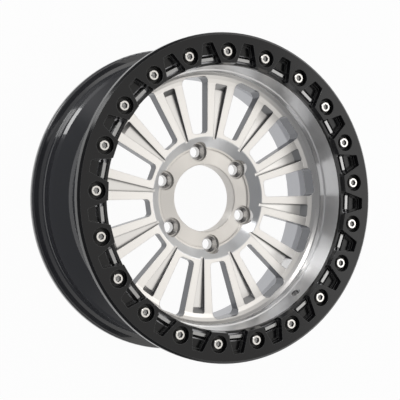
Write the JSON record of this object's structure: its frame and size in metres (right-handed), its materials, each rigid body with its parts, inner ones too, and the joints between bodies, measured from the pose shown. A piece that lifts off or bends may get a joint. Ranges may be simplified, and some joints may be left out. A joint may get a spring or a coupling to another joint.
{
  "type": "beadlock wheel",
  "caption": "Forged light-truck wheel with tapered pocketed spokes and a screwed-on toothed clamp ring that locks the outer tyre bead.",
  "frame": {"origin": "on the axle line, in the plane of the inboard flange's rim that the wheel lies on", "axes": "+Z along the axle line, from the inboard flange towards the clamp ring; +X through the middle of a spoke"},
  "size_m": [0.4719, 0.472, 0.2029],
  "materials": {
    "wheel": "machined face, gloss black barrel",
    "ring": "satin black",
    "screws": "plain stainless",
    "washers": "black"
  },
  "bodies": {
    "root": {"wheel": "wheel", "beadlock_ring": "ring", "ring_screws": "screws", "ring_washers": "washers"}
  },
  "joints": []
}
